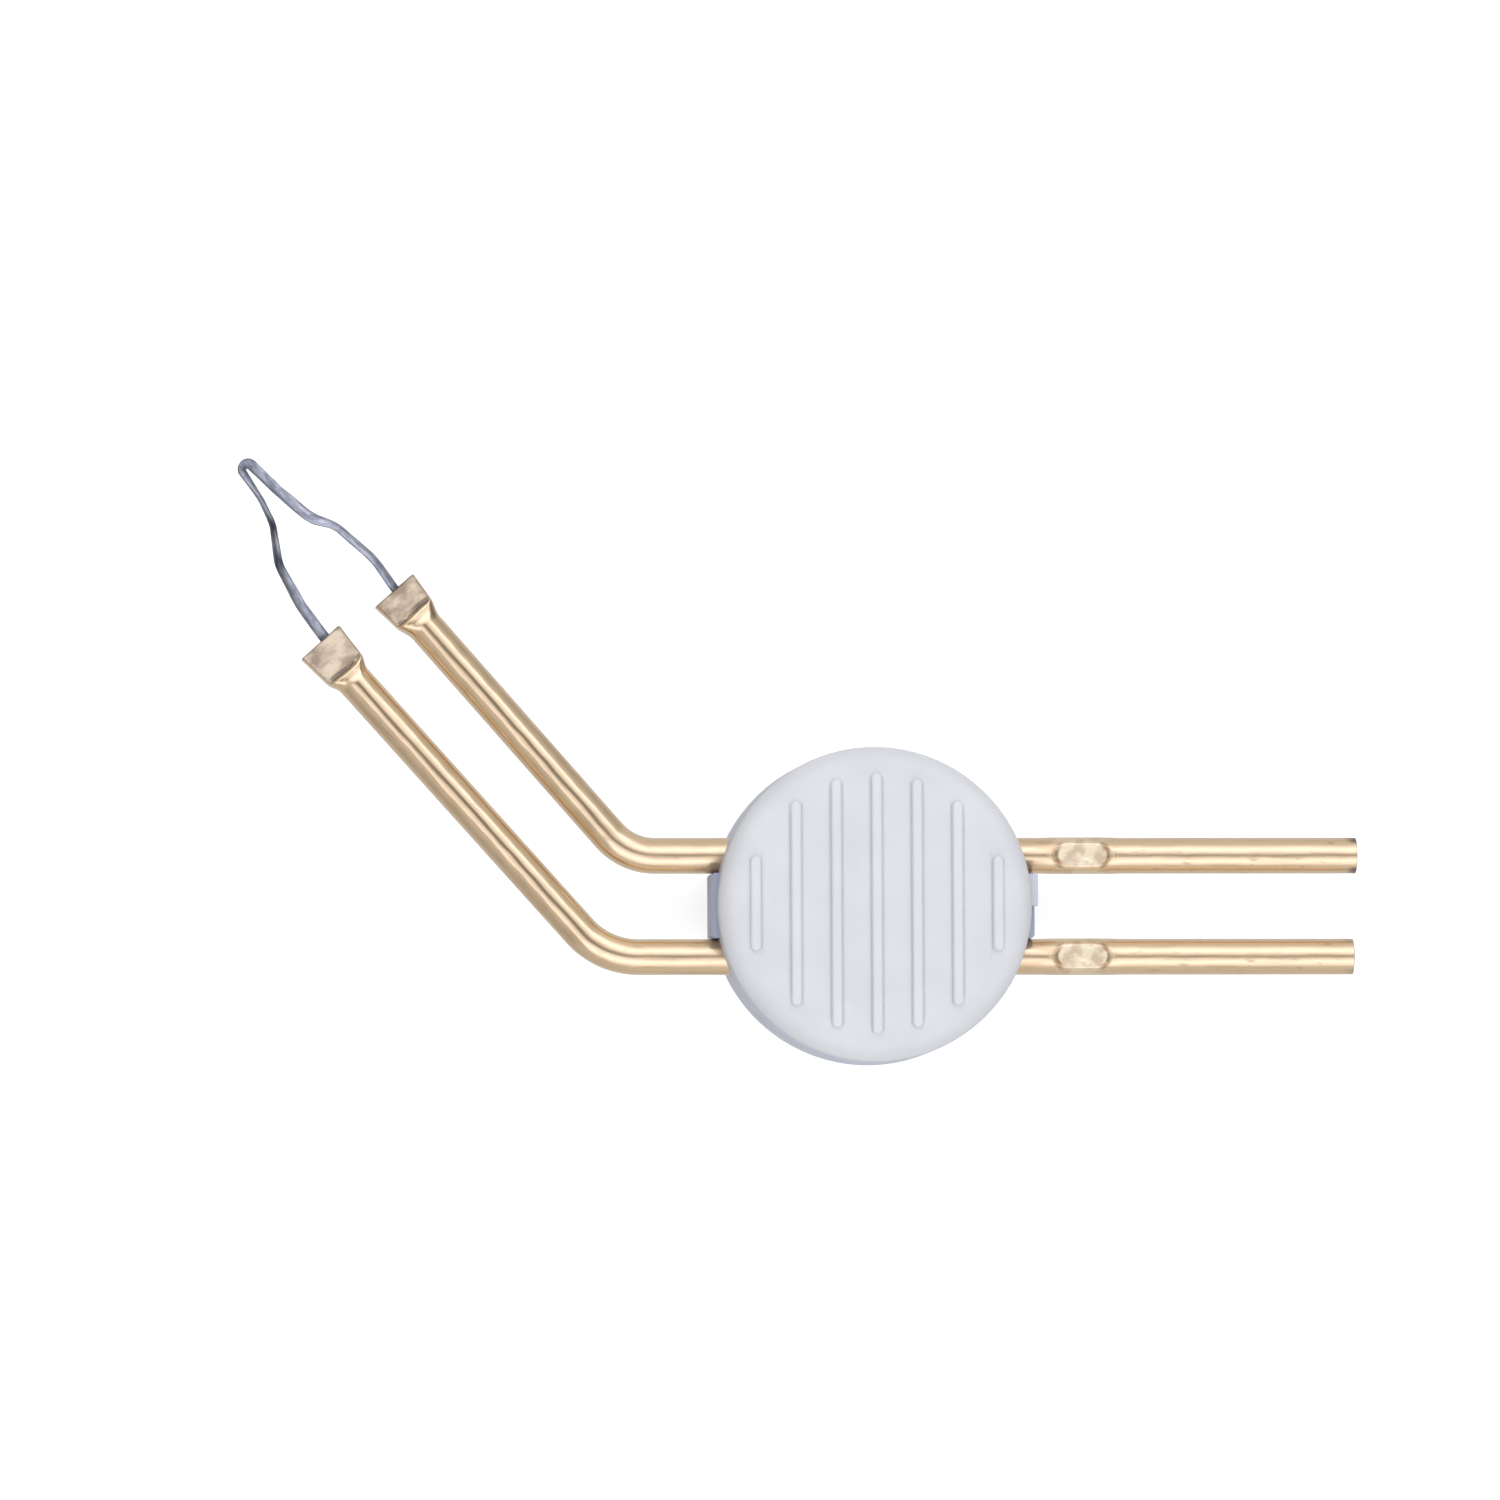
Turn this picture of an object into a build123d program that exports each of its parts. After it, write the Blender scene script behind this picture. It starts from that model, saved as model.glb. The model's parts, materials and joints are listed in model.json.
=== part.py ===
"""Plug-in heated wire loop: two bent brass prongs, a wire loop, a spacer bar and a ribbed finger grip.

The frame's origin is on the grip's axis, at the tops of the rear ribs that the part rests on.
+X runs along the prongs to their plug ends, +Y is the side the loop is bent to and +Z is up.
"""

from build123d import *
import os
from math import cos, radians, sin, sqrt

os.makedirs("parts", exist_ok=True)

# Prongs
prong_diameter = 1.6
prong_pitch = 4.5
plug_chamfer = 0.12

# The two prongs are bent and pressed by hand, so each has its own bend and flat
upper_plug_x = 21.7
upper_corner_x = -10.86
upper_bend_angle = 48.7
upper_bend_radius = 2.7
upper_arm_length = 15.6
upper_flat_length = 1.25
upper_taper_length = 0.95
upper_socket_shift = 0.0
lower_plug_x = 21.55
lower_corner_x = -11.96
lower_bend_angle = 48.1
lower_bend_radius = 3.5
lower_arm_length = 18.7
lower_flat_length = 1.6
lower_taper_length = 0.7
lower_socket_shift = 0.3

# Staked dents on the front of the prongs, just outside the grip
dent_x = 9.35
dent_length = 2.75
dent_width = 1.3
dent_depth = 0.23
bulge_length = 3.1
bulge_width = 1.66
bulge_height = 1.62

# Notches inside the grip that stop the prongs from sliding out
key_length = 1.6
key_depth = 0.2

# Pressed flat ends that hold the wire
flat_thickness = 0.9
flat_step_width = 2.05
flat_end_width = 2.3
press_shoulder = 0.3
socket_depth = 1.1

# Wire loop
wire_diameter = 0.4
wire_lead = 0.12
tip_radius = 0.25

# Finger grip
grip_diameter = 14.0
grip_thickness = 5.56
rim_radius = 0.9
parting_chamfer = 0.08
rib_count = 7
rib_pitch = 1.8
rib_width = 0.5
rib_height = 0.22
rib_crest_radius = 0.13
rib_root_radius = 0.08
rib_circle_radius = 5.8
peg_diameter = 1.1
peg_length = 1.0
peg_x = 3.0
peg_y = 4.6
gate_y = 0.65
gate_z = 1.6
gate_width = 1.4
gate_height = 0.6
gate_proud = 0.28

# Spacer bar between the prongs
bar_length = 14.4
bar_height = 2.4
bar_edge_chamfer = 0.1
stub_diameter = 1.0

# Gap on each side between pieces that are held in one another
fit_gap = 0.02

# Sizes that follow
prong_radius = prong_diameter / 2
wire_radius = wire_diameter / 2
grip_radius = grip_diameter / 2
half_thickness = grip_thickness / 2
mid_height = half_thickness + rib_height
bar_width = prong_pitch - prong_diameter - fit_gap


def save(builder, name):
    """Label a finished piece and write its STEP file."""
    builder.part.label = name
    export_step(builder.part, f"parts/{name}.step")


def free_end(corner_x, side, bend_angle, arm_length):
    """Plane on a prong's free end: its x runs across the arm and its z out of the end."""
    angle = radians(bend_angle)
    along = Vector(-cos(angle), sin(angle), 0)
    across = Vector(sin(angle), cos(angle), 0)
    corner = Vector(corner_x, side * prong_pitch / 2, mid_height)
    return Plane(origin=corner + along * arm_length, x_dir=across, z_dir=along)


upper_end = free_end(upper_corner_x, 1, upper_bend_angle, upper_arm_length)
lower_end = free_end(lower_corner_x, -1, lower_bend_angle, lower_arm_length)


def make_prong(side, plug_x, corner_x, bend_radius, end, flat_length, taper_length, socket_shift):
    """One rod: plug pin, staked dent, bend, and a pressed flat end with the wire's socket."""
    axis_y = side * prong_pitch / 2
    taper_start = end.offset(-flat_length - taper_length)
    with BuildPart() as prong:
        with BuildLine() as path:
            FilletPolyline(
                (plug_x, axis_y, mid_height),
                (corner_x, axis_y, mid_height),
                taper_start.origin,
                radius=bend_radius,
            )
        with BuildSketch(Plane(origin=path.line @ 0, z_dir=path.line % 0)):
            Circle(prong_radius)
        sweep()
        chamfer(prong.edges().group_by(Axis.X)[-1], plug_chamfer)

        # The metal spreads sideways from the round rod to the free end.
        with BuildSketch(taper_start):
            Circle(prong_radius)
        with BuildSketch(end.offset(-flat_length)):
            Ellipse(flat_step_width / 2, prong_radius)
        loft()
        with BuildSketch(end.offset(-flat_length)):
            Ellipse(flat_step_width / 2, prong_radius)
        with BuildSketch(end):
            Ellipse(flat_end_width / 2, prong_radius)
        loft()

        # The press leaves two flats, each with a steep shoulder.
        with BuildSketch(Plane(origin=end.origin, x_dir=-end.z_dir, z_dir=end.x_dir)):
            for face in (1, -1):
                with BuildLine():
                    Polyline(
                        (-flat_length, face * flat_thickness / 2),
                        (flat_length, face * flat_thickness / 2),
                        (flat_length + press_shoulder, face * prong_diameter),
                        (-flat_length, face * prong_diameter),
                        close=True,
                    )
                make_face()
        extrude(amount=flat_end_width, both=True, mode=Mode.SUBTRACT)

        with BuildSketch(end):
            with Locations((socket_shift, 0)):
                Circle(wire_radius + fit_gap)
        extrude(amount=-socket_depth, mode=Mode.SUBTRACT)

        # Staking swells the rod a little all round, and leaves a flat-bottomed dent in front.
        with Locations((dent_x, axis_y, mid_height)):
            Box(bulge_length, prong_pitch / 2, prong_pitch / 2, mode=Mode.SUBTRACT)
        with BuildSketch(Plane.YZ.offset(dent_x - bulge_length / 2)):
            with Locations((axis_y, mid_height)):
                Ellipse(bulge_width / 2, bulge_height / 2)
        extrude(amount=bulge_length)
        with BuildSketch(Plane.XY.offset(mid_height + prong_radius - dent_depth)):
            with Locations((dent_x, axis_y)):
                SlotOverall(dent_length, dent_width)
        extrude(amount=prong_radius, mode=Mode.SUBTRACT)

        for face in (1, -1):
            notch_height = mid_height + face * (prong_diameter - key_depth)
            with Locations((0, axis_y, notch_height)):
                Box(key_length, prong_diameter, prong_diameter, mode=Mode.SUBTRACT)
    return prong


upper_prong = make_prong(
    side=1,
    plug_x=upper_plug_x,
    corner_x=upper_corner_x,
    bend_radius=upper_bend_radius,
    end=upper_end,
    flat_length=upper_flat_length,
    taper_length=upper_taper_length,
    socket_shift=upper_socket_shift,
)
save(upper_prong, "upper_prong")

lower_prong = make_prong(
    side=-1,
    plug_x=lower_plug_x,
    corner_x=lower_corner_x,
    bend_radius=lower_bend_radius,
    end=lower_end,
    flat_length=lower_flat_length,
    taper_length=lower_taper_length,
    socket_shift=lower_socket_shift,
)
save(lower_prong, "lower_prong")


def wire_end(end, shift):
    """The wire's two points at a prong's end: at the bottom of its socket and just outside it."""
    mouth = end.origin + end.x_dir * shift
    return mouth - end.z_dir * (socket_depth - fit_gap), mouth + end.z_dir * wire_lead


# The wire: each end lies straight in its socket, and each leg waves on its way to the tight tip.
upper_waves = ((-22.1, 15.42), (-23.8, 16.92), (-24.85, 17.3), (-26.3, 18.44))
upper_wave_radii = (4.0, 1.5, 1.5, 4.0)
tip_corners = ((-27.68, 19.83), (-28.06, 19.51))
lower_waves = ((-27.06, 18.16), (-26.58, 17.0), (-26.34, 15.2), (-25.29, 13.4))
lower_wave_radii = (2.5, 2.0, 2.0, 3.0)
lead_radius = 1.0

with BuildPart() as heating_loop:
    upper_bottom, upper_lead = wire_end(upper_end, upper_socket_shift)
    lower_bottom, lower_lead = wire_end(lower_end, lower_socket_shift)
    wire_points = [
        upper_bottom,
        upper_lead,
        *[(x, y, mid_height) for x, y in upper_waves + tip_corners + lower_waves],
        lower_lead,
        lower_bottom,
    ]
    wire_radii = [
        lead_radius,
        *upper_wave_radii,
        tip_radius,
        tip_radius,
        *lower_wave_radii,
        lead_radius,
    ]
    with BuildLine() as wire_path:
        FilletPolyline(*wire_points, radius=wire_radii)
    with BuildSketch(Plane(origin=wire_path.line @ 0, z_dir=wire_path.line % 0)):
        Circle(wire_radius)
    sweep()
save(heating_loop, "heating_loop")


# The bar keeps the prongs apart, and a hole through it takes the stubs of both grip halves.
with BuildPart() as spacer_bar:
    with BuildSketch(Plane.XY.offset(mid_height - bar_height / 2)):
        Rectangle(bar_length, bar_width)
    extrude(amount=bar_height)
    ends = spacer_bar.faces().sort_by(Axis.X)
    chamfer(ends[0].edges() + ends[-1].edges(), bar_edge_chamfer)
    with Locations((0, 0, mid_height + bar_height / 2)):
        Hole(stub_diameter / 2 + fit_gap)
save(spacer_bar, "spacer_bar")


# The grip's two halves come from one mould: the rear one is the front one turned over.
with BuildPart() as front_grip_half:
    with BuildSketch(Plane.XY.offset(mid_height)):
        Circle(grip_radius)
    extrude(amount=half_thickness)
    fillet(front_grip_half.edges().sort_by(Axis.Z)[-1], rim_radius)
    chamfer(front_grip_half.edges().sort_by(Axis.Z)[0], parting_chamfer)

    # Finger ribs, which end on one circle
    with BuildSketch(Plane.XY.offset(mid_height + half_thickness)):
        for index in range(rib_count):
            rib_x = (index - (rib_count - 1) / 2) * rib_pitch
            rib_length = 2 * sqrt(rib_circle_radius**2 - rib_x**2)
            with Locations((rib_x, 0)):
                SlotOverall(rib_length, rib_width, rotation=90)
    extrude(amount=rib_height)
    fillet(front_grip_half.edges().group_by(Axis.Z)[-1], rib_crest_radius)
    face_height = mid_height + half_thickness
    face_edges = front_grip_half.edges().filter_by_position(Axis.Z, face_height, face_height)
    fillet(face_edges.sort_by(SortBy.LENGTH)[:-1], rib_root_radius)

    # What is left of the moulding gate, on the plug side
    with BuildSketch(Plane.YZ.offset(grip_radius - gate_width)):
        with Locations((gate_y, mid_height + gate_z)):
            Rectangle(gate_width, gate_height)
    extrude(amount=gate_width + gate_proud)

    # Channels for the prongs and the bar
    with BuildSketch(Plane.YZ.offset(-grip_diameter)):
        with Locations((prong_pitch / 2, mid_height), (-prong_pitch / 2, mid_height)):
            Circle(prong_radius + fit_gap)
        with Locations((0, mid_height)):
            Rectangle(bar_width + 2 * fit_gap, bar_height + 2 * fit_gap)
    extrude(amount=2 * grip_diameter, mode=Mode.SUBTRACT)

    # Lands that fill the prongs' notches
    land_height = 2 * (key_depth + fit_gap)
    land_z = mid_height + prong_radius - key_depth + fit_gap + land_height / 2
    with Locations((0, prong_pitch / 2, land_z), (0, -prong_pitch / 2, land_z)):
        Box(key_length - 2 * fit_gap, prong_diameter, land_height)

    # Stub that holds the bar
    stub_length = bar_height / 2 + fit_gap
    with BuildSketch(Plane.XY.offset(mid_height + fit_gap)):
        Circle(stub_diameter / 2)
    extrude(amount=stub_length)

    # Pegs on one side and their sockets on the other
    with BuildSketch(Plane.XY.offset(mid_height)):
        with Locations((peg_x, peg_y), (-peg_x, peg_y)):
            Circle(peg_diameter / 2)
    extrude(amount=-peg_length)
    with BuildSketch(Plane.XY.offset(mid_height)):
        with Locations((peg_x, -peg_y), (-peg_x, -peg_y)):
            Circle(peg_diameter / 2 + fit_gap)
    extrude(amount=peg_length + fit_gap, mode=Mode.SUBTRACT)
save(front_grip_half, "front_grip_half")

with BuildPart() as rear_grip_half:
    add(front_grip_half.part.rotate(Axis((0, 0, mid_height), (1, 0, 0)), 180))
save(rear_grip_half, "rear_grip_half")
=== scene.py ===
"""Plug-in heated wire loop: two bent brass prongs, a wire loop, a spacer bar and a ribbed finger grip.

The frame's origin is on the grip's axis, at the tops of the rear ribs that the part rests on.
+X runs along the prongs to their plug ends, +Y is the side the loop is bent to and +Z is up.
Pieces are shaped in millimetres and turned into metres when they are finished.
"""

import json
from math import atan2, cos, hypot, pi, radians, sin, tan

import bmesh
import bpy
from mathutils import Matrix, Vector, noise


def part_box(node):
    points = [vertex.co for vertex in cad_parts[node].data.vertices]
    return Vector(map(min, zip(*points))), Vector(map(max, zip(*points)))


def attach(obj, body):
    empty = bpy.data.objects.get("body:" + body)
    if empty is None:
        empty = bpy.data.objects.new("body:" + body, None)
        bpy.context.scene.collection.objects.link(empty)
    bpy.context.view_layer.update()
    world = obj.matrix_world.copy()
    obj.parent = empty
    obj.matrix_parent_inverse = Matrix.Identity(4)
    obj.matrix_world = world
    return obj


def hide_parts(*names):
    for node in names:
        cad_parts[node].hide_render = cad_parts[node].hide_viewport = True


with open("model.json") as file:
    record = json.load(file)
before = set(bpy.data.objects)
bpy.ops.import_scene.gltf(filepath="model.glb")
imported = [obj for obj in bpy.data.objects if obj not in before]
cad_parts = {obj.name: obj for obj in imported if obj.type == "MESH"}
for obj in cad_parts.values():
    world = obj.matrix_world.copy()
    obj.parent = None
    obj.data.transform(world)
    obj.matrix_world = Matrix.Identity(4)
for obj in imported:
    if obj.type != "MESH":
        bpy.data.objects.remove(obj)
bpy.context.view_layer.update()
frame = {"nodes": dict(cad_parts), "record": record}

MM = 0.001

# ---------------------------------------------------------------- sizes, in millimetres

mounts = {mount["name"]: mount for mount in frame["record"]["mounts"]}
prong_radius = mounts["upper_pin"]["dims"]["r_mm"]
prong_offset = mounts["upper_pin"]["pos_m"][1] / MM
mid_height = mounts["upper_pin"]["pos_m"][2] / MM

# The two prongs are bent and pressed by hand, so each has its own bend and flat. Angles are in
# degrees, side is the prong's side of the middle, and burr is how dark its sheared corners are
upper_shape = {
    "side": 1,
    "plug_x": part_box("upper_prong")[1].x / MM,
    "corner_x": -10.86,
    "bend_angle": 48.7,
    "bend_radius": 2.7,
    "arm_length": 15.7,
    "flat_length": 1.25,
    "neck_length": 0.95,
    "socket_shift": 0.1,
    "burr": 1.0,
}
lower_shape = {
    "side": -1,
    "plug_x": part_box("lower_prong")[1].x / MM,
    "corner_x": -11.96,
    "bend_angle": 48.1,
    "bend_radius": 3.5,
    "arm_length": 18.8,
    "flat_length": 1.6,
    "neck_length": 0.7,
    "socket_shift": 0.3,
    "burr": 0.4,
}

# Sheared plug ends. Two extra rings behind the chamfer keep the rod's shading straight
plug_chamfer = 0.025
plug_rings_behind = (0.06, 0.15)
plug_rings_clear = 0.2
plug_dish = 0.02
plug_face_radii = (0.3, 0.52, 0.74)
burr_reach = 0.34
burr_strength = 1.2
burr_sides = (0.55, 0.8)

# Staked dents on the front of the prongs
dent_x = 9.35
dent_length = 2.75
dent_width = 1.3
dent_depth = 0.15
dent_side_wall = 0.24
dent_end_walls = (0.28, 0.4)
dent_wall_blend = 0.4
dent_dish = 0.07
dent_dish_fade = 0.6
dent_softness = 0.09
swell_length = 3.9
swell_ramp = 0.9
swell_amount = 0.018
# The metal round a dent is paler too, partly as worked metal and partly as a painted highlight stronger
# towards the top: how much, how softly it ends and how far round the rod it goes
pale_share = 0.6
pale_ramp = 0.5
pale_depth = 0.4
# Painted dark reflection on the dent's end walls, strongest halfway up them
wall_reflection_strength = 1.5
wall_reflection_falloff = 2.6
wall_reflection_ramp = 0.3
# Metal that has moved by this much looks fully worked
worked_depth = 0.05

# Notches inside the grip that stop the prongs from sliding out
key_length = 1.6
key_depth = 0.2
key_wall = 0.01

# Pressed ends
flat_thickness = 0.9
flat_step_width = 2.05
flat_end_width = 2.3
flat_squareness = 0.39
neck_margin = 0.6
shoulder_softness = 0.12
shoulder_softening = 0.3
# The shoulder's height at distances back from the flat: a step, a shallow slope and clear of the rod
shoulder = ((0.0, flat_thickness / 2), (0.24, 0.7), (0.4, 0.74), (0.95, prong_radius + 0.2))
edge_softness = 0.05
rim_radius = 0.07
socket_depth = 1.1
socket_size = (0.52, 0.46)
# Each step of the hole: how far in, its share of the socket's size and how dark its painted shade is
socket_steps = ((0.0, 1.25, 0.35), (0.03, 1.05, 0.8), (0.12, 1.0, 1.0), (socket_depth, 0.9, 1.0))
# Unevenness left by the press: how big, how closely spaced and which part of the noise each prong takes
hammer_mark = 0.02
hammer_spacing = 2.2
hammer_seed = 7
shoulder_wander = 0.07
shoulder_spacing = 1.8
shoulder_seed = 5
# Painted shade at the foot of the shoulder and a painted dark reflection on its brow: the place back from
# the flat, the reach, and how far the metal has to be pressed in for the full mark
foot_shade = (0.02, 0.24, 0.1)
brow_reflection = (0.3, 0.13, 0.03)
brow_reflection_share = 0.45
pressed_fade = 0.5
# Painted shade along the free end, and more of it at its two corners
free_end_shade_reach = 0.16
free_end_sides = (0.7, 0.95)
free_end_shade_shares = (0.55, 0.45)

# Wire
ribbon_width = 0.5
ribbon_thickness = 0.28
wire_lead = 0.12
wire_gap = 0.02
wire_end_share = 0.6
wire_unevenness = 0.05
wire_unevenness_spacing = 1.7
wire_mouth_fade = 0.35
tip_radius = 0.25
upper_waves = ((-22.08, 15.44), (-23.8, 16.93), (-24.9, 17.27), (-26.3, 18.44))
upper_wave_radii = (4.0, 1.5, 2.0, 4.0)
tip_corners = ((-27.66, 19.76), (-28.04, 19.49))
lower_waves = ((-27.12, 18.11), (-26.59, 17.0), (-26.34, 15.2), (-25.35, 13.37))
lower_wave_radii = (2.5, 2.0, 2.0, 3.0)
lead_radius = 1.0
# How far the ribbon is turned on its edge at its leads and at each corner, in degrees
ribbon_turns = (42, 47, 50, 12, -32, -20, -45, -80, -105, -125, -152, -170)
# Painted dark reflection on the wire: the corner each patch is near, how far past it, its reach and how
# dark it is
wire_dark_reflection_spots = ((5, 0.2, 1.0, 0.5), (8, 0.1, 0.9, 1.0), (9, -0.1, 0.8, 0.9))

# Ring spacing
around = 96
plain_step = 0.6
bend_step = 0.1
fine_step = 0.05
wire_step = 0.1
wire_bend_step = 0.05

# Edges sharper than this many degrees are shaded as edges
crease_angle = 38

# Finger ribs, with painted shade beside them and painted highlights on their crests
rib_pitch = 1.8
rib_width = 0.5
rib_circle_radius = 5.8
rib_pitches_added = 50
rib_shade_band = (0.02, 0.16)
rib_shade_circle = (rib_circle_radius - 0.05, rib_circle_radius - 0.35)
crest_highlight_band = (mid_height - 0.12, mid_height - 0.04)

# The grip's side wall gets painted shade, darker than its face: from these radii outwards and these heights
# down
side_radii = (6.6, 6.95)
side_heights = (5.3, 4.7)


# ---------------------------------------------------------------- small helpers


def ease(share):
    """0 to 1 with a soft start and end."""
    share = min(max(share, 0.0), 1.0)
    return share * share * (3 - 2 * share)


def soft_limit(value, limit, softness):
    """The lower of two heights, rounded where they cross."""
    share = min(max(0.5 + 0.5 * (limit - value) / softness, 0.0), 1.0)
    return limit + (value - limit) * share - softness * share * (1 - share)


class Route:
    """A flat line of straight runs joined by arcs, which gives a place and a heading at any distance."""

    def __init__(self, points, radii):
        self.spans = []
        self.corners_at = []
        self.length = 0.0
        points = [Vector(point) for point in points]
        start = points[0]
        for before, corner, after, radius in zip(points, points[1:], points[2:], radii):
            arriving = (corner - before).normalized()
            leaving = (after - corner).normalized()
            turn = atan2(arriving.cross(leaving), arriving.dot(leaving))
            cut = radius * tan(abs(turn) / 2)
            bend_start = corner - arriving * cut
            self.add_span(start, arriving, (bend_start - start).length, 0.0)
            self.corners_at.append(self.length + radius * abs(turn) / 2)
            self.add_span(bend_start, arriving, radius * abs(turn), turn / (radius * abs(turn)))
            start = corner + leaving * cut
        self.add_span(start, leaving, (points[-1] - start).length, 0.0)

    def add_span(self, start, direction, length, curvature):
        heading = atan2(direction.y, direction.x)
        self.spans.append((self.length, start, heading, length, curvature))
        self.length += length

    def place(self, distance):
        span = self.spans[0]
        for candidate in self.spans:
            if candidate[0] <= distance:
                span = candidate
        begins, start, heading, _, curvature = span
        travelled = distance - begins
        if curvature == 0.0:
            return start + travelled * Vector((cos(heading), sin(heading))), heading
        turned = heading + curvature * travelled
        across = Vector((sin(turned) - sin(heading), cos(heading) - cos(turned)))
        return start + across / curvature, turned

    def steps(self, straight_step, arc_step):
        """Distances of evenly spaced rings, closer together on the arcs."""
        found = []
        for begins, _, _, length, curvature in self.spans:
            step = arc_step if curvature else straight_step
            count = max(1, round(length / step))
            found += [begins + length * index / count for index in range(count)]
        return [*found, self.length]


def lay_along(bm, route):
    """Bends straight stock: x becomes the distance along the route, y lies left of it and z is up."""
    for vert in bm.verts:
        centre, heading = route.place(vert.co.x)
        left = Vector((-sin(heading), cos(heading)))
        flat = centre + left * vert.co.y
        vert.co = (flat.x, flat.y, mid_height + vert.co.z)


def open_edges(bm):
    return [edge for edge in bm.edges if edge.is_boundary]


def round_stock(rings):
    """A round bar along x, closed at its start, from (distance, radius) rings. Its last ring is open."""
    bm = bmesh.new()
    first_distance, first_radius = rings[0]
    turn = Matrix.Translation((first_distance, 0, 0)) @ Matrix.Rotation(pi / 2, 4, "Y")
    bmesh.ops.create_circle(bm, cap_ends=True, segments=around, radius=first_radius, matrix=turn)
    edges = open_edges(bm)
    for (last_distance, last_radius), (distance, radius) in zip(rings, rings[1:]):
        made = bmesh.ops.extrude_edge_only(bm, edges=edges)["geom"]
        verts = [item for item in made if isinstance(item, bmesh.types.BMVert)]
        edges = [item for item in made if isinstance(item, bmesh.types.BMEdge) and item.is_boundary]
        grow = radius / last_radius
        bmesh.ops.scale(bm, vec=(1, grow, grow), verts=verts)
        bmesh.ops.translate(bm, vec=(distance - last_distance, 0, 0), verts=verts)
    return bm


def remember_stock(bm):
    """Keeps each point's place in the straight stock, for patterns that follow the drawn metal."""
    layer = bm.verts.layers.float_vector.new("stock")
    for vert in bm.verts:
        vert[layer] = vert.co


def finish_piece(bm, name, material, node):
    """Turns a shaped bmesh into a piece in metres that stands for its CAD node."""
    bm.normal_update()
    bmesh.ops.recalc_face_normals(bm, faces=bm.faces)
    bmesh.ops.scale(bm, vec=(MM, MM, MM), verts=bm.verts)
    mesh = bpy.data.meshes.new(name)
    bm.to_mesh(mesh)
    bm.free()
    mesh.polygons.foreach_set("use_smooth", [True] * len(mesh.polygons))
    mesh.set_sharp_from_angle(angle=radians(crease_angle))
    mesh.materials.append(material)
    piece = bpy.data.objects.new(name, mesh)
    bpy.context.scene.collection.objects.link(piece)
    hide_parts(node)
    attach(piece, "root")
    return piece


# ---------------------------------------------------------------- brass prongs


def prong_route(shape):
    """From the plug end straight to the bend, and up the arm to the free end."""
    axis_y = shape["side"] * prong_offset
    angle = radians(shape["bend_angle"])
    corner = Vector((shape["corner_x"], axis_y))
    free_end = corner + shape["arm_length"] * Vector((-cos(angle), sin(angle)))
    return Route(((shape["plug_x"], axis_y), corner, free_end), (shape["bend_radius"],))


def prong_rings(shape, route):
    """Rings of the round rod, closer together where it is sheared, staked, notched, bent and pressed."""
    distances = set(route.steps(plain_step, bend_step))
    shaped_spans = (
        (shape["plug_x"] - dent_x - swell_length / 2, shape["plug_x"] - dent_x + swell_length / 2),
        (route.length - shape["flat_length"] - shape["neck_length"] - neck_margin, route.length),
    )
    for begins, ends in shaped_spans:
        distances = {at for at in distances if not begins <= at <= ends}
        count = round((ends - begins) / fine_step)
        distances |= {begins + (ends - begins) * index / count for index in range(count + 1)}
    for wall in (-key_length / 2, key_length / 2):
        at = shape["plug_x"] + wall
        distances |= {at - key_wall, at + key_wall}
    distances = {at for at in distances if plug_chamfer + plug_rings_clear < at <= route.length}
    distances |= {plug_chamfer + behind for behind in plug_rings_behind}
    face = [(plug_dish * (1 - radius / prong_radius), radius) for radius in plug_face_radii]
    chamfer = [
        (0.0, prong_radius - plug_chamfer),
        (plug_chamfer, prong_radius),
    ]
    return face + chamfer + [(at, prong_radius) for at in sorted(distances)]


def stake(bm, centre):
    """The punch spreads the rod a little and leaves a dished dent in its front."""
    reach = (dent_length - dent_width) / 2
    top = prong_radius + swell_amount
    staked = bm.verts.layers.float.new("staked")
    wall_dirt = bm.verts.layers.float.new("wall_dirt")
    for vert in bm.verts:
        along = abs(vert.co.x - centre)
        end_wall = dent_end_walls[0] if vert.co.x < centre else dent_end_walls[1]
        wall = dent_side_wall + (end_wall - dent_side_wall) * ease((along - reach) / dent_wall_blend)
        swell = ease((swell_length / 2 - along) / swell_ramp)
        vert.co.y *= 1 + swell * swell_amount / prong_radius
        vert.co.z *= 1 + swell * swell_amount / prong_radius / 2
        inside = dent_width / 2 - hypot(max(along - reach, 0), vert.co.y)
        # Paler worked metal together with a painted highlight, stronger towards the top of the rod
        paler = ease((dent_length / 2 - along) / pale_ramp) * ease(vert.co.z / pale_depth + 0.5)
        vert[staked] = pale_share * paler
        if vert.co.z > 0 and inside > -dent_softness:
            dish = dent_dish * (1 - (vert.co.y / (dent_width / 2)) ** 2)
            dish *= ease((reach + dent_dish_fade / 2 - along) / dent_dish_fade)
            limit = top - (dent_depth + dish) * ease(inside / wall)
            lowered = soft_limit(vert.co.z, limit, dent_softness)
            vert[staked] = max(vert[staked], ease((vert.co.z - lowered) / worked_depth))
            # Painted dark reflection on the dent's end walls
            dark_reflection = ease(wall_reflection_strength - wall_reflection_falloff * abs(inside / wall - 0.5))
            vert[wall_dirt] = dark_reflection * ease((along - reach) / wall_reflection_ramp)
            vert.co.z = lowered


def notch(bm, centre):
    """Flats inside the grip, front and back, that lock the rod in place."""
    depth = prong_radius - key_depth
    for vert in bm.verts:
        if abs(vert.co.x - centre) < key_length / 2:
            vert.co.z = min(max(vert.co.z, -depth), depth)


def shoulder_height(back):
    """Half the rod's thickness at a distance back from the flat."""
    for (near, low), (far, high) in zip(shoulder, shoulder[1:]):
        if back < far:
            return low + (high - low) * ease((back - near) / (far - near))
    return shoulder[-1][1]


def towards_sides(across, sides):
    """0 at the rod's middle and 1 at its two sides, between two shares of its radius."""
    start, full = sides
    return ease((abs(across) / prong_radius - start) / (full - start))


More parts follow.
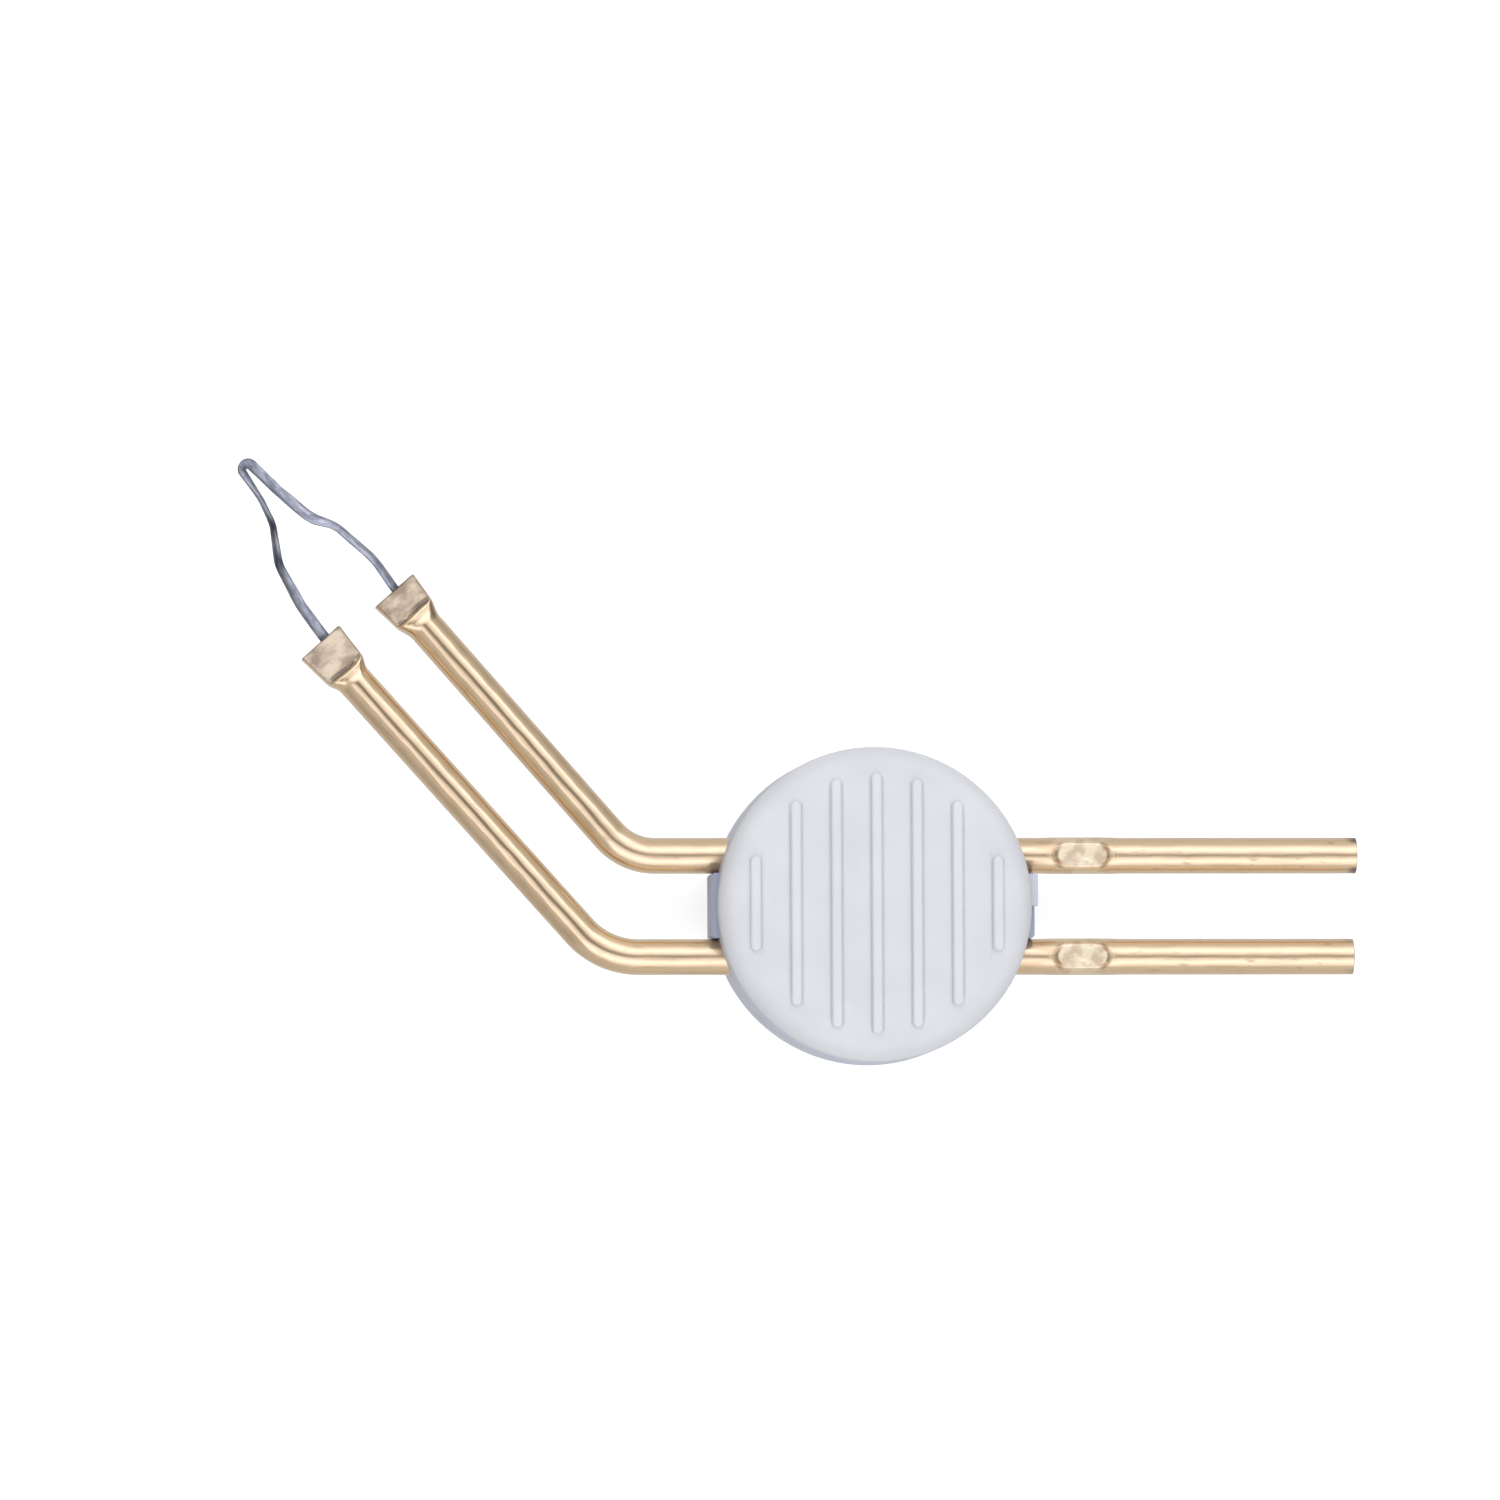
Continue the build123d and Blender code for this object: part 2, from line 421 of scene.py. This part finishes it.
def press(bm, shape, length):
    """The end is pressed flat on both sides: it spreads, and the flats end in rounded shoulders."""
    flat_start = length - shape["flat_length"]
    neck_start = flat_start - shape["neck_length"]
    pressed = bm.verts.layers.float.new("pressed")
    crevice = bm.verts.layers.float.new("crevice")
    for vert in bm.verts:
        along, across, up = vert.co
        at_plug = ease(burr_strength - along / burr_reach)
        vert[crevice] = shape["burr"] * towards_sides(across, burr_sides) * at_plug
        if along < neck_start - neck_margin:
            continue
        at_corner = towards_sides(across, free_end_sides)
        neck = ease((along - neck_start) / shape["neck_length"])
        share = across / prong_radius
        across = prong_radius * share * (1 + flat_squareness * neck * (1 - share**2))
        flare = min(max((along - flat_start) / shape["flat_length"], 0), 1)
        half_width = prong_radius + (flat_step_width / 2 - prong_radius) * neck
        half_width += (flat_end_width - flat_step_width) / 2 * flare
        shoulder_place = Vector((across * shoulder_spacing, shape["side"] * shoulder_seed, up))
        back = flat_start - along + shoulder_wander * noise.noise(shoulder_place)
        half_height = shoulder_height(back)
        to_rim = max(along - (length - rim_radius), 0)
        inset = rim_radius - (rim_radius**2 - min(to_rim, rim_radius) ** 2) ** 0.5
        hammer_place = (along * hammer_spacing, across * hammer_spacing, up + shape["side"] * hammer_seed)
        dimple = noise.noise(Vector(hammer_place)) * hammer_mark
        limit = half_height - inset + (dimple if back < 0 else 0)
        height = abs(up)
        near_flat = back < shoulder[-1][0]
        softness = edge_softness + shoulder_softness * ease(back / shoulder_softening)
        lowered = soft_limit(height, limit, softness) if near_flat else height
        vert.co.y = across * (half_width - inset) / prong_radius
        vert.co.z = lowered if up > 0 else -lowered
        if near_flat:
            vert[pressed] = ease((height - lowered) / worked_depth) * ease(0.5 - back / pressed_fade)
            # Painted shade at the shoulder's foot and a painted dark reflection on its brow
            foot, brow = (
                ease(1 - abs(back - place) / reach) * ease((height - lowered) / depth)
                for place, reach, depth in (foot_shade, brow_reflection)
            )
            # Painted shade along the free end, heavier at its corners
            all_along, more_at_corners = free_end_shade_shares
            free_end = ease(1 - (length - along) / free_end_shade_reach)
            free_end *= all_along + more_at_corners * at_corner
            vert[crevice] = max(foot, brow_reflection_share * brow, free_end)


def open_socket(bm, shape, length):
    """The free end's face runs in to the hole that holds the wire."""
    stock = bm.verts.layers.float_vector["stock"]
    crevice = bm.verts.layers.float["crevice"]
    pressed = bm.verts.layers.float["pressed"]
    wide, high = socket_size
    for depth, share, dark in socket_steps:
        made = bmesh.ops.extrude_edge_only(bm, edges=open_edges(bm))["geom"]
        for vert in made:
            if isinstance(vert, bmesh.types.BMVert):
                angle = atan2(vert[stock].z, vert[stock].y)
                across = -shape["socket_shift"] + share * wide / 2 * cos(angle)
                vert.co = (length - depth, across, share * high / 2 * sin(angle))
                # Painted shade inside the socket
                vert[crevice] = dark
                vert[pressed] = 1.0
    bmesh.ops.contextual_create(bm, geom=open_edges(bm))


def make_prong(name, node, shape, material):
    route = prong_route(shape)
    bm = round_stock(prong_rings(shape, route))
    remember_stock(bm)
    stake(bm, shape["plug_x"] - dent_x)
    notch(bm, shape["plug_x"])
    press(bm, shape, route.length)
    open_socket(bm, shape, route.length)
    lay_along(bm, route)
    return finish_piece(bm, name, material, node)


# ---------------------------------------------------------------- wire loop


def socket_bottom_and_lead(shape):
    """The wire's two points at a prong's end: near the bottom of its socket and just outside it."""
    angle = radians(shape["bend_angle"])
    along = Vector((-cos(angle), sin(angle)))
    across = Vector((sin(angle), cos(angle)))
    corner = Vector((shape["corner_x"], shape["side"] * prong_offset))
    mouth = corner + along * shape["arm_length"] + across * shape["socket_shift"]
    return mouth - along * (socket_depth - wire_gap), mouth + along * wire_lead


def wire_route():
    upper_bottom, upper_lead = socket_bottom_and_lead(upper_shape)
    lower_bottom, lower_lead = socket_bottom_and_lead(lower_shape)
    points = (
        upper_bottom,
        upper_lead,
        *upper_waves,
        *tip_corners,
        *lower_waves,
        lower_lead,
        lower_bottom,
    )
    radii = (lead_radius, *upper_wave_radii, tip_radius, tip_radius, *lower_wave_radii, lead_radius)
    return Route(points, radii)


def turn_at(distance, corners_at):
    """How far the ribbon is turned on its edge at a distance along it, in radians."""
    if distance <= corners_at[0]:
        return radians(ribbon_turns[0])
    for begins, ends, first, last in zip(corners_at, corners_at[1:], ribbon_turns, ribbon_turns[1:]):
        if distance <= ends:
            return radians(first + (last - first) * ease((distance - begins) / (ends - begins)))
    return radians(ribbon_turns[-1])


def make_wire(material):
    """An oval ribbon that twists on its way round the loop."""
    route = wire_route()
    distances = route.steps(wire_step, wire_bend_step)
    rings = [(at, 1.0) for at in distances]
    bm = round_stock([(distances[0], wire_end_share), *rings, (route.length, wire_end_share)])
    bmesh.ops.contextual_create(bm, geom=open_edges(bm))
    remember_stock(bm)
    crevice = bm.verts.layers.float.new("crevice")
    burnt = bm.verts.layers.float.new("burnt")
    for vert in bm.verts:
        along, across, up = vert.co
        uneven = noise.noise(Vector((along * wire_unevenness_spacing, across, up)))
        rough = 1 + wire_unevenness * uneven
        turn = turn_at(along, route.corners_at)
        wide = across * ribbon_width / 2 * rough
        thick = up * ribbon_thickness / 2 * rough
        vert.co.y = wide * cos(turn) - thick * sin(turn)
        vert.co.z = wide * sin(turn) + thick * cos(turn)
        # Painted shade inside the socket, fading out past its mouth
        from_mouth = min(along, route.length - along) - socket_depth
        vert[crevice] = 1 - ease(from_mouth / wire_mouth_fade)
        vert[burnt] = sum(
            strength * ease(1 - abs(along - route.corners_at[corner] - past) / reach)
            for corner, past, reach, strength in wire_dark_reflection_spots
        )
    lay_along(bm, route)
    return finish_piece(bm, "wire_loop_formed", material, "heating_loop")


# ---------------------------------------------------------------- colours

clean_brass = (0.8, 0.59, 0.365, 1)
streaked_brass = (0.58, 0.38, 0.19, 1)
speck_brown = (0.36, 0.2, 0.1, 1)
dent_floor_pale_highlight = (0.95, 0.81, 0.58, 1)
dent_floor_brown = (0.62, 0.45, 0.29, 1)
dent_wall_reflection_brown = (0.34, 0.18, 0.06, 1)
pressed_brown = (0.4, 0.3, 0.21, 1)
pressed_tan = (0.84, 0.68, 0.5, 1)
shade_and_darkening_black = (0.09, 0.07, 0.055, 1)
wire_grey = (0.52, 0.53, 0.585, 1)
wire_dark_grey = (0.27, 0.28, 0.345, 1)
wire_scale_grey = (0.17, 0.18, 0.24, 1)
wire_socket_shade = (0.09, 0.09, 0.12, 1)
wire_dark_reflection_black = (0.07, 0.075, 0.11, 1)
grip_grey = (0.775, 0.77, 0.75, 1)
grip_shade = (0.735, 0.73, 0.715, 1)
rib_root_shade = (0.45, 0.46, 0.5, 1)
crest_highlight = (0.9, 0.9, 0.9, 1)
grip_side_shade = (0.36, 0.39, 0.5, 1)
bar_grey = (0.44, 0.47, 0.56, 1)
bar_shade = (0.39, 0.42, 0.5, 1)
floor_white = (0.93, 0.93, 0.93, 1)
backdrop_white = (0.98, 0.99, 1.0, 1)


# ---------------------------------------------------------------- materials

# The noise stays mostly between 0.3 and 0.7, so the ranges that it is remapped from pick out its
# hollows or its peaks, and the ranges that it is remapped to say how strongly they show.


def add_node(tree, kind, inputs=None, **settings):
    """One node: settings are its own options, and inputs are values or the sockets that feed it."""
    node = tree.nodes.new(kind)
    for option, value in settings.items():
        setattr(node, option, value)
    for socket, value in (inputs or {}).items():
        if isinstance(value, bpy.types.NodeSocket):
            tree.links.new(value, node.inputs[socket])
        else:
            node.inputs[socket].default_value = value
    return node


def stretched(tree, vector, scale):
    """Pattern coordinates scaled differently along each axis."""
    return add_node(tree, "ShaderNodeMapping", {"Vector": vector, "Scale": scale}).outputs[0]


def grain(tree, vector, scale, detail=3.0, roughness=0.5):
    """Cloudy variation between 0 and 1."""
    inputs = {"Vector": vector, "Scale": scale, "Detail": detail, "Roughness": roughness}
    return add_node(tree, "ShaderNodeTexNoise", inputs).outputs["Fac"]


def remap(tree, value, start, end, low=0.0, high=1.0):
    """A soft step from low to high as value goes from start to end."""
    inputs = {"Value": value, "From Min": start, "From Max": end, "To Min": low, "To Max": high}
    return add_node(tree, "ShaderNodeMapRange", inputs, interpolation_type="SMOOTHSTEP").outputs["Result"]


def calculate(tree, operation, first, second=0.0):
    return add_node(tree, "ShaderNodeMath", {0: first, 1: second}, operation=operation).outputs[0]


def mixed(tree, share, first, second):
    """From the first colour to the second, by share."""
    node = add_node(tree, "ShaderNodeMix", data_type="RGBA")
    for socket, value in ((0, share), (6, first), (7, second)):
        if isinstance(value, bpy.types.NodeSocket):
            tree.links.new(value, node.inputs[socket])
        else:
            node.inputs[socket].default_value = value
    return node.outputs[2]


def attribute(tree, name, output="Fac"):
    return add_node(tree, "ShaderNodeAttribute", attribute_name=name).outputs[output]


def bump(tree, height, distance, under=None):
    """A raised pattern whose height is in millimetres."""
    inputs = {"Height": height, "Distance": distance * MM, "Strength": 1.0}
    if under is not None:
        inputs["Normal"] = under
    return add_node(tree, "ShaderNodeBump", inputs).outputs[0]


def new_material(name):
    material = bpy.data.materials.new(name)
    material.use_nodes = True
    tree = material.node_tree
    return material, tree, tree.nodes["Principled BSDF"]


def feed(tree, shader, **sockets):
    """Links or sets the shader's sockets, named with underscores."""
    for name, value in sockets.items():
        socket = shader.inputs[name.replace("_", " ")]
        if isinstance(value, bpy.types.NodeSocket):
            tree.links.new(value, socket)
        else:
            socket.default_value = value


def drawn_brass():
    """Bright drawn brass: lengthwise die lines, tarnish and specks, pale dents that are partly a painted
    highlight, and matt pressed ends, with painted shade and dark reflections.
    """
    material, tree, shader = new_material("drawn_brass")
    stock = attribute(tree, "stock", "Vector")
    pressed = attribute(tree, "pressed")
    crevice = attribute(tree, "crevice")

    # Colour: clean brass, browner streaks along the draw, and specks of tarnish towards the plug ends
    streaks = grain(tree, stretched(tree, stock, (0.25, 5.0, 5.0)), 1.0, detail=4.0, roughness=0.6)
    clouds = grain(tree, stretched(tree, stock, (0.6, 1.2, 1.2)), 1.0, detail=2.0)
    tarnish = calculate(tree, "MULTIPLY", remap(tree, streaks, 0.45, 0.75), remap(tree, clouds, 0.35, 0.65))
    colour = mixed(tree, remap(tree, tarnish, 0, 1, 0, 0.55), clean_brass, streaked_brass)
    specks = remap(tree, grain(tree, stretched(tree, stock, (1.4, 3.5, 3.5)), 1.0, detail=3.0), 0.58, 0.74)
    from_plug = add_node(tree, "ShaderNodeSeparateXYZ", {"Vector": stock}).outputs["X"]
    handled = remap(tree, from_plug, 4.0, 14.0, 0.5, 0.15)
    speckled = calculate(tree, "MULTIPLY", specks, handled)
    colour = mixed(tree, speckled, colour, speck_brown)

    # Staked dents: a paler matt floor, its paleness partly a painted highlight, and a painted brown
    # reflection on the walls at its two ends
    staked = attribute(tree, "staked")
    blotches = grain(tree, stretched(tree, stock, (1.6, 1.6, 1.6)), 1.0, detail=2.0)
    floor = mixed(tree, remap(tree, blotches, 0.44, 0.64, 0, 0.7), dent_floor_pale_highlight, dent_floor_brown)
    colour = mixed(tree, staked, colour, floor)
    uneven = remap(tree, blotches, 0.3, 0.6, 0.45, 0.85)
    dark_reflection = calculate(tree, "MULTIPLY", attribute(tree, "wall_dirt"), uneven)
    colour = mixed(tree, dark_reflection, colour, dent_wall_reflection_brown)

    # Pressed ends: mottled tan. Painted shade in the socket, at the shoulder's foot and along the free end,
    # a painted dark reflection on the shoulder's brow, and darker sheared corners at the plug ends, all
    # made patchy
    mottle = grain(tree, stock, 1.3, detail=3.0, roughness=0.55)
    matt = mixed(tree, remap(tree, mottle, 0.34, 0.66), pressed_brown, pressed_tan)
    colour = mixed(tree, pressed, colour, matt)
    patches = remap(tree, grain(tree, stock, 2.2), 0.35, 0.6, 0.35, 1.1)
    patchy = calculate(tree, "MULTIPLY", crevice, patches)
    colour = mixed(tree, remap(tree, patchy, 0.05, 1, 0, 0.85), colour, shade_and_darkening_black)

    # Sheen: bright along the rod, brighter past the bend, and rough on worked faces and in the specks
    rubbed = remap(tree, streaks, 0.3, 0.8, 0.21, 0.31)
    rubbed = calculate(tree, "SUBTRACT", rubbed, remap(tree, from_plug, 31.0, 35.0, 0, 0.12))
    rough = calculate(tree, "ADD", rubbed, calculate(tree, "MULTIPLY", speckled, 0.3))
    rough = calculate(tree, "ADD", rough, calculate(tree, "MULTIPLY", pressed, 0.3))
    rough = calculate(tree, "ADD", rough, calculate(tree, "MULTIPLY", staked, 0.22))

    # Relief: slow waves left by drawing and bending, die lines, and grains on the pressed faces
    waves = grain(tree, stretched(tree, stock, (0.7, 1.3, 1.3)), 1.0, detail=1.0)
    lines = grain(tree, stretched(tree, stock, (0.3, 22.0, 22.0)), 1.0, detail=2.0)
    pits = calculate(tree, "MULTIPLY", grain(tree, stock, 9.0, detail=4.0, roughness=0.6), pressed)
    normal = bump(tree, waves, 0.03)
    normal = bump(tree, lines, 0.002, under=normal)
    normal = bump(tree, pits, 0.05, under=normal)
    normal = bump(tree, calculate(tree, "MULTIPLY", blotches, staked), 0.09, under=normal)
    feed(tree, shader, Base_Color=colour, Metallic=1.0, Roughness=rough, Normal=normal)
    feed(tree, shader, Coat_Weight=0.5, Coat_Roughness=0.22, Coat_IOR=1.9)
    return material


def oxidised_wire():
    """Dull blue-grey resistance wire with patches of darker oxide, painted shade at the sockets and painted
    dark reflection near the tip and on the lower leg.
    """
    material, tree, shader = new_material("oxidised_wire")
    stock = attribute(tree, "stock", "Vector")
    crevice = attribute(tree, "crevice")
    patches = grain(tree, stretched(tree, stock, (1.4, 1.0, 1.0)), 1.0, detail=4.0, roughness=0.6)
    scale_marks = grain(tree, stretched(tree, stock, (6.0, 3.0, 3.0)), 1.0, detail=3.0)
    colour = mixed(tree, remap(tree, patches, 0.35, 0.7), wire_grey, wire_dark_grey)
    colour = mixed(tree, remap(tree, scale_marks, 0.55, 0.75, 0, 0.5), colour, wire_scale_grey)
    # Painted shade where the wire runs into the sockets
    colour = mixed(tree, remap(tree, crevice, 0, 1, 0, 0.75), colour, wire_socket_shade)
    # Painted dark reflection near the tip and on the lower leg
    burnt = attribute(tree, "burnt")
    burnt = calculate(tree, "MULTIPLY", burnt, remap(tree, patches, 0.3, 0.6, 0.6, 1.0))
    colour = mixed(tree, burnt, colour, wire_dark_reflection_black)
    rough = remap(tree, patches, 0.3, 0.7, 0.34, 0.52)
    normal = bump(tree, scale_marks, 0.02)
    feed(tree, shader, Base_Color=colour, Metallic=1.0, Roughness=rough, Normal=normal)
    return material


def ribs_and_sides(tree, base, place, fine):
    """Adds painted light and shade to the grip's plain colour: painted shade beside the ribs, painted
    highlights on the crests and painted shade on the side walls.
    """
    axes = add_node(tree, "ShaderNodeSeparateXYZ", {"Vector": place}).outputs
    flat_place = stretched(tree, place, (1, 1, 0))
    from_axis = add_node(tree, "ShaderNodeVectorMath", {0: flat_place}, operation="LENGTH").outputs["Value"]

    # Whole pitches are added first, which keeps the folded number positive and changes nothing else
    shifted = calculate(tree, "ADD", axes["X"], rib_pitches_added * rib_pitch)
    from_rib = calculate(tree, "PINGPONG", shifted, rib_pitch / 2)
    from_wall = calculate(tree, "ABSOLUTE", calculate(tree, "SUBTRACT", from_rib, rib_width / 2))
    # Painted shade along both sides of each rib, made a little patchy
    rib_shade = remap(tree, from_wall, *rib_shade_band, 0.3, 0)
    rib_shade = calculate(tree, "MULTIPLY", rib_shade, remap(tree, from_axis, *rib_shade_circle))
    rib_shade = calculate(tree, "MULTIPLY", rib_shade, remap(tree, fine, 0.3, 0.7, 0.6, 1.0))
    base = mixed(tree, rib_shade, base, rib_root_shade)

    # Painted highlight on the rib crests
    from_middle = calculate(tree, "ABSOLUTE", calculate(tree, "SUBTRACT", axes["Z"], mid_height))
    base = mixed(tree, remap(tree, from_middle, *crest_highlight_band, 0, 0.2), base, crest_highlight)

    # Painted shade on the grip's side wall below the rounded rim
    low = remap(tree, axes["Z"], *side_heights, 0, 0.5)
    sides = calculate(tree, "MULTIPLY", remap(tree, from_axis, *side_radii), low)
    return mixed(tree, sides, base, grip_side_shade)


def moulded_plastic(name, colour, shade, ribbed):
    """Satin moulded plastic: slight clouding, flow marks and a fine matt texture."""
    material, tree, shader = new_material(name)
    place = add_node(tree, "ShaderNodeTexCoord").outputs["Object"]
    place = stretched(tree, place, (1 / MM, 1 / MM, 1 / MM))
    clouds = grain(tree, place, 0.35, detail=3.0)
    flow = grain(tree, stretched(tree, place, (0.9, 0.3, 0.9)), 1.0, detail=4.0, roughness=0.6)
    fine = grain(tree, place, 7.0, detail=3.0, roughness=0.6)
    base = mixed(tree, remap(tree, clouds, 0.3, 0.7), colour, shade)
    base = mixed(tree, remap(tree, flow, 0.58, 0.75, 0, 0.35), base, shade)
    if ribbed:
        base = ribs_and_sides(tree, base, place, fine)
    rough = remap(tree, flow, 0.3, 0.7, 0.4, 0.52)
    normal = bump(tree, clouds, 0.06)
    normal = bump(tree, fine, 0.006, under=normal)
    feed(tree, shader, Base_Color=base, Roughness=rough, Normal=normal, IOR=1.5)
    return material


# ---------------------------------------------------------------- studio

# Each side has three panels, one inside the other, so its light fades towards the edges
light_distance = 0.35
light_length = 0.42
light_colour = (0.91, 0.97, 1.2)
# Each panel's name, its near and far edges in degrees from straight above, and its radiance
light_panels = (("wide", 8, 66, 0.3), ("middle", 18, 56, 0.35), ("core", 27, 47, 0.35))
# Each side's direction along Y, its shift along X in metres and its brightness beside the other's
light_sides = {"upper": (1, 0.0, 1.06), "lower": (-1, 0.03, 1.0)}

floor_half_size = 3.0
floor_gap = 0.00002
floor_glow = 0.5

# Camera: metres, except for the target, which is in millimetres, and the leans, which are in degrees
camera_target = (-5.36, 6.96, mid_height)
camera_distance = 1.2
camera_lean_left = 5.5
camera_lean_down = 3.0
frame_width = 0.0666667
sensor_width = 36.0

# World light: the cosine to a direction between which it fades, and its strength before and after
end_fade = (0.6, 0.95, 1.0, 0.3)
lower_left = (-0.75, -0.66, 0)
lower_left_fade = (0.4, 0.9, 1.0, 0.88)
overhead_fade = (0.97, 0.992, 1.0, 0.4)
horizon_rise = (-0.3, 0.1, 0.7, 0.76)


def soft_box(name, side, shift, near_angle, far_angle, radiance):
    """A soft panel on one side, facing the part, between two angles from straight above."""
    near_edge, far_edge = (
        Vector((0.0, side * sin(radians(angle)), cos(radians(angle)))) * light_distance
        for angle in (near_angle, far_angle)
    )
    light = bpy.data.lights.new(name, "AREA")
    light.shape = "RECTANGLE"
    light.size = light_length
    light.size_y = (far_edge - near_edge).length
    light.energy = radiance * pi * light.size * light.size_y
    light.color = light_colour
    panel = bpy.data.objects.new(name, light)
    bpy.context.scene.collection.objects.link(panel)
    along = Vector((1, 0, 0))
    facing = (near_edge + far_edge).normalized()
    turn = Matrix((along, facing.cross(along), facing)).transposed()
    panel.matrix_world = Matrix.Translation((near_edge + far_edge) / 2 + shift * along) @ turn.to_4x4()
    panel.visible_camera = False


def make_floor():
    """A pale floor just under the part. Seen directly it glows, so it looks white up to the part's edge."""
    bm = bmesh.new()
    bmesh.ops.create_grid(bm, x_segments=1, y_segments=1, size=floor_half_size)
    bmesh.ops.translate(bm, vec=(0, 0, -floor_gap), verts=bm.verts)
    mesh = bpy.data.meshes.new("floor")
    bm.to_mesh(mesh)
    bm.free()
    floor = bpy.data.objects.new("floor", mesh)
    bpy.context.scene.collection.objects.link(floor)
    material, tree, shader = new_material("pale_floor")
    seen_directly = add_node(tree, "ShaderNodeLightPath").outputs["Is Camera Ray"]
    glow = calculate(tree, "MULTIPLY", seen_directly, floor_glow)
    feed(tree, shader, Base_Color=floor_white, Roughness=0.9)
    feed(tree, shader, Emission_Color=floor_white, Emission_Strength=glow)
    mesh.materials.append(material)
    floor.visible_glossy = False


def make_camera():
    """A long lens over the part, a little to the left of it and below it."""
    target = Vector(camera_target) * MM
    back = Vector((-tan(radians(camera_lean_left)), -tan(radians(camera_lean_down)), 1.0))
    camera_data = bpy.data.cameras.new("camera")
    camera_data.sensor_width = sensor_width
    camera_data.lens = sensor_width * camera_distance * back.length / frame_width
    camera_data.clip_start = 0.1
    camera_data.clip_end = 10.0
    camera = bpy.data.objects.new("camera", camera_data)
    bpy.context.scene.collection.objects.link(camera)
    side = Vector((1, 0, 0))
    away = back.normalized()
    up = away.cross(side).normalized()
    right = up.cross(away)
    turn = Matrix((right, up, away)).transposed()
    camera.matrix_world = Matrix.Translation(target + back * camera_distance) @ turn.to_4x4()
    bpy.context.scene.camera = camera


def make_world():
    """Even light, dimmer straight above and towards the part's ends and lower left, on a white backdrop."""
    world = bpy.data.worlds.new("studio")
    bpy.context.scene.world = world
    world.use_nodes = True
    tree = world.node_tree
    direction = add_node(tree, "ShaderNodeTexCoord").outputs["Generated"]
    axes = add_node(tree, "ShaderNodeSeparateXYZ", {"Vector": direction}).outputs
    to_lower_left = add_node(
        tree,
        "ShaderNodeVectorMath",
        {0: direction, 1: lower_left},
        operation="DOT_PRODUCT",
    ).outputs["Value"]
    strength = remap(tree, calculate(tree, "ABSOLUTE", axes["X"]), *end_fade)
    strength = calculate(tree, "MULTIPLY", strength, remap(tree, to_lower_left, *lower_left_fade))
    strength = calculate(tree, "MULTIPLY", strength, remap(tree, axes["Z"], *overhead_fade))
    strength = calculate(tree, "MULTIPLY", strength, remap(tree, axes["Z"], *horizon_rise))
    seen_directly = add_node(tree, "ShaderNodeLightPath").outputs["Is Camera Ray"]
    background = tree.nodes["Background"]
    background.inputs["Color"].default_value = backdrop_white
    tree.links.new(calculate(tree, "MAXIMUM", strength, seen_directly), background.inputs["Strength"])


# ---------------------------------------------------------------- the part

brass = drawn_brass()
make_prong("upper_prong_formed", "upper_prong", upper_shape, brass)
make_prong("lower_prong_formed", "lower_prong", lower_shape, brass)
make_wire(oxidised_wire())

pale_plastic = moulded_plastic("grip_plastic", grip_grey, grip_shade, ribbed=True)
grey_plastic = moulded_plastic("bar_plastic", bar_grey, bar_shade, ribbed=False)
for node, material, slot_name in (
    ("front_grip_half", pale_plastic, "grip_plastic"),
    ("rear_grip_half", pale_plastic, "grip_plastic"),
    ("spacer_bar", grey_plastic, "bar_plastic"),
):
    frame["nodes"][node].material_slots[0].material = material

for light_side, (side, shift, balance) in light_sides.items():
    for panel_name, near_angle, far_angle, radiance in light_panels:
        name = f"{light_side}_{panel_name}_soft_box"
        soft_box(name, side, shift, near_angle, far_angle, radiance * balance)
make_floor()
make_world()
make_camera()
bpy.context.scene.view_settings.view_transform = "Standard"
